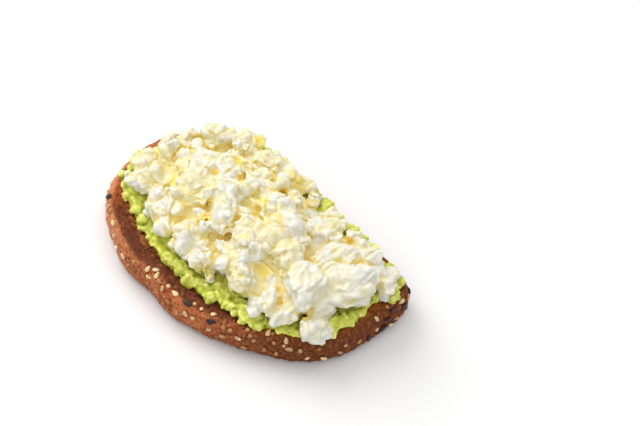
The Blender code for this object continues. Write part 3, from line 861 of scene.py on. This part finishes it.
def heap_height(x, y):
    """Height of the egg's core over the avocado: a mound that falls away to the egg's outline."""
    share = math.hypot(x, y) / outline_radius(EGG_RADII, math.atan2(y, x))
    return 10.0 * MM * max(0.0, 1.0 - share**2.4) ** 0.55


def core_point(angle, share, on_top):
    """A point of the heap's core, whose first ring lies in the avocado."""
    spot = direction(angle) * outline_radius(EGG_RADII, angle) * share
    rise = 0.4 * SPREAD_THICKNESS + heap_height(spot.x, spot.y) if on_top else 0.0
    return Vector((spot.x, spot.y, CRUMB_HEIGHT + 0.6 * SPREAD_THICKNESS + rise))


egg_pieces = [draw_up(CORE_COLUMNS, CORE_RINGS, core_point)]
draw = random.Random(37)
for number, (x, y, z, across, along, up) in enumerate(CURDS):
    half_lengths = (across * MM, along * MM, up * MM)
    tilt = draw.uniform(-0.25, 0.25)
    egg_pieces.append(lump(Vector((x, y, z)) * MM, half_lengths, CURD_TURN, tilt, 0.34, 300 + number))
placed = []
while len(placed) < SMALL_CURDS:
    angle = draw.uniform(0, math.tau)
    share = math.sqrt(draw.uniform(0.0, 1.0))
    spot = direction(angle) * outline_radius(EGG_RADII, angle) * share * 1.02
    size = draw.uniform(2.6 * MM, 5.2 * MM)
    if any((spot - other).length < SMALL_CURD_GAP for other in placed):
        continue
    placed.append(spot)
    surface = CRUMB_HEIGHT + SPREAD_THICKNESS + 1.2 * heap_height(spot.x, spot.y)
    centre = Vector((spot.x, spot.y, surface + draw.uniform(0.2, 0.7) * size))
    half_lengths = (size, size * draw.uniform(0.6, 1.2), size * draw.uniform(0.5, 0.85))
    turn = draw.uniform(0, math.pi)
    tilt = draw.uniform(-0.6, 0.6)
    egg_pieces.append(lump(centre, half_lengths, turn, tilt, 0.34, 500 + len(placed), 2))

heap_skin = BVHTree.FromObject(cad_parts["scrambled_egg"], bpy.context.evaluated_depsgraph_get())
draw = random.Random(91)
crumbs = 0
while crumbs < CRUMBS:
    angle = draw.uniform(0, math.tau)
    spot = direction(angle) * outline_radius(EGG_RADII, angle) * math.sqrt(draw.random()) * 1.06
    smoothness = max(0.0, min(1.0, (spot.x / MM + 0.4 * spot.y / MM - 22) / 18))
    size = draw.uniform(0.9 * MM, 2.3 * MM)
    if draw.random() < 0.35 + smoothness * 0.6:
        continue
    hit, normal, _, _ = heap_skin.ray_cast(spot + CENTRING + Vector((0, 0, 0.1)), Vector((0, 0, -1)))
    if hit is None:
        continue
    centre = hit - CENTRING + normal * 0.2 * size
    half_lengths = (size * 1.3, size * draw.uniform(0.6, 1.0), size * draw.uniform(0.35, 0.6))
    turn = draw.uniform(0, math.pi)
    tilt = draw.uniform(-1.2, 1.2)
    egg_pieces.append(lump(centre, half_lengths, turn, tilt, 0.7, 900 + crumbs, 1))
    crumbs += 1
egg = join_into("scrambled_egg_curds", egg_pieces)
run_together(egg, CURD_GRAIN)


def smooth_white(point):
    """1 over the large smooth lobes of white at the right, 0 over the crumbly curds."""
    return fade((point.x + 0.4 * point.y) / MM + 5.0 * ripple(point, 12 * MM, 90.0), 20, 40)


def chips(point, size, seed):
    """Torn flakes: each stands at its own height and leans its own way, with a crack round it."""
    place = point / size + Vector((seed, 2.3 * seed, 0.7 * seed))
    near, cells = noise.voronoi(place)
    lean = noise.cell_vector(cells[0] * 5.3) - Vector((0.5, 0.5, 0.5))
    stand = 0.5 + 0.5 * noise.cell(cells[0] * 9.7)
    return 0.8 * stand + 1.6 * lean.dot(place - cells[0]), fade(near[1] - near[0], 0.0, 0.22)


def egg_relief(point):
    """Long soft folds over the white lobes, torn and craggy flakes elsewhere."""
    white = smooth_white(point)
    torn = 1.0 - 0.93 * white
    bend = Vector(ripple(point, 8 * MM, seed) for seed in (101.0, 102.0, 103.0)) * 2.2 * MM
    bent = point + bend
    large, large_crack = chips(bent, 8.5 * MM, 100.0)
    small, small_crack = chips(bent + 0.5 * bend, 3.9 * MM, 110.0)
    fold = pucker(bent, 10.0 * MM, 115.0)
    pleat = pucker(Vector((bent.x, 0.4 * bent.y, 0.8 * bent.z)), 5.2 * MM, 125.0)
    ruffle = pucker(Vector((bent.x, 0.5 * bent.y, bent.z)), 2.9 * MM, 127.0)
    depth = (
        torn * (1.4 * (large - 0.35) - 0.6 * (1.0 - large_crack))
        + torn * (0.42 * (small - 0.35) - 0.15 * (1.0 - small_crack))
        + (1.1 * torn + 0.5 * white) * (fold - 0.62)
        + white * (1.15 * (pleat - 0.6) + 0.38 * (ruffle - 0.6))
        + 0.12 * torn * ripple(point, 1.9 * MM, 120.0)
        + 0.06 * ripple(point, 1.1 * MM, 130.0)
    )
    return MM * (depth * (1.0 - 0.75 * fade(point.z, 34 * MM, 38.5 * MM)) if depth > 0 else depth)


def mark_crevices(piece, name, reach):
    """Stores how much of what each point faces is close by: 0 in the open, towards 1 in a crevice."""
    skin = BVHTree.FromObject(piece, bpy.context.evaluated_depsgraph_get())
    rays = []
    for number in range(FACED_WAYS):
        height = 1.0 - 2.0 * (number + 0.5) / FACED_WAYS
        turn = number * 2.39996
        width = math.sqrt(1.0 - height * height)
        rays.append(Vector((width * math.cos(turn), width * math.sin(turn), height)))
    values = np.zeros(len(piece.data.vertices))
    for vertex in piece.data.vertices:
        start = vertex.co + vertex.normal * 0.12 * MM
        met = faced = 0.0
        for ray in rays:
            lean = ray.dot(vertex.normal)
            if lean > 0.1:
                faced += lean
                distance = skin.ray_cast(start, ray, reach)[3]
                if distance is not None:
                    met += lean * (1.0 - 0.6 * distance / reach)
        values[vertex.index] = met / max(faced, 0.1)
    values = even_out(values, skin_of(piece)[2], 2)
    layer = piece.data.attributes.new(name, "FLOAT", "POINT")
    layer.data.foreach_set("value", values.astype(np.float32))


fill_hollows(egg, 220, lambda point: 0.75 - 0.5 * smooth_white(point))
run_together(egg, CURD_GRAIN)
fill_hollows(egg, 40, lambda point: 0.7 - 0.5 * smooth_white(point))
carve(egg, egg_relief)
yolk_spots = [(Vector((x, y, 0.0)) * MM, radius * MM) for x, y, radius in YOLK_SPOTS]


def yolk_share_at(point):
    """1 on the few curds that hold the most yolk, 0 elsewhere."""
    flat = Vector((point.x, point.y, 0.0)) + Vector((1.0, 1.0, 0.0)) * 1.6 * MM * ripple(point, 4 * MM, 140.0)
    return max(1.0 - fade((flat - spot).length / radius, 0.55, 1.15) for spot, radius in yolk_spots)


egg.data.transform(Matrix.Translation(CENTRING))
cut_to(egg, avocado, GAP)
cut_to(egg, bread, GAP)
mark_hollows(egg, "hollow", 8, 0.5 * MM)
mark_hollows(egg, "dip", 70, 1.6 * MM)
mark_crevices(egg, "crevice", 7.0 * MM)
layer = egg.data.attributes.new("yolk_share", "FLOAT", "POINT")
layer.data.foreach_set("value", [yolk_share_at(vertex.co - CENTRING) for vertex in egg.data.vertices])

egg_curd, tree, shader = new_material("soft_egg_curd")
hollow, dip, crevice = (attribute(tree, name) for name in ("hollow", "dip", "crevice"))
axes = object_axes(tree)
white = blend_colours(tree, patches(tree, 130, 0.42, 0.72), (0.67, 0.665, 0.61), (0.70, 0.67, 0.49))
curd = layered(
    tree, white,
    (share_of(tree, patches(tree, 75, 0.42, 0.58, 2.0), 0.5), (0.75, 0.65, 0.24)),
    (share_of(tree, patches(tree, 170, 0.56, 0.66, 2.0), 0.55), (0.79, 0.60, 0.09)),
    (level(tree, axes["X"], 0.022, 0.046, 0.72), white),
    # Painted shade: the larger folds and dips are painted yellow-cream.
    (level(tree, dip, 0.52, 0.78, 0.4), (0.76, 0.63, 0.18)),
    (share_of(tree, attribute(tree, "yolk_share"), 0.8), (0.80, 0.62, 0.055)),
    # Painted highlight: the curds' crests are painted whiter.
    (level(tree, hollow, 0.49, 0.14, 0.85), (0.765, 0.765, 0.73)),
    # Yellow in the crevices: partly yolk that gathers there, partly painted shade and glow.
    (level(tree, crevice, 0.08, 0.34, 0.5), (0.84, 0.70, 0.22)),
    # Deeper yellow in the hollows: partly yolk, partly painted shade and glow.
    (level(tree, hollow, 0.60, 0.96, 0.6), (0.86, 0.69, 0.17)),
    # Strongest yellow deep in the crevices: partly yolk, partly painted shade and glow.
    (level(tree, crevice, 0.28, 0.58, 0.75), (0.93, 0.71, 0.13)),
)
tree.links.new(curd, shader.inputs["Base Color"])
shader.inputs["Subsurface Weight"].default_value = 0.65
shader.inputs["Subsurface Radius"].default_value = (1.0, 0.85, 0.45)
shader.inputs["Subsurface Scale"].default_value = 0.0022
uneven_gloss(tree, shader, 380, 0.35, 0.7, 0.3, 0.5)
fine_grain(tree, shader, 1100.0, 4.0, 0.3, 0.0004)
egg.data.materials.clear()
egg.data.materials.append(egg_curd)
egg.data.shade_smooth()
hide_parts("scrambled_egg")
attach(egg, "root")
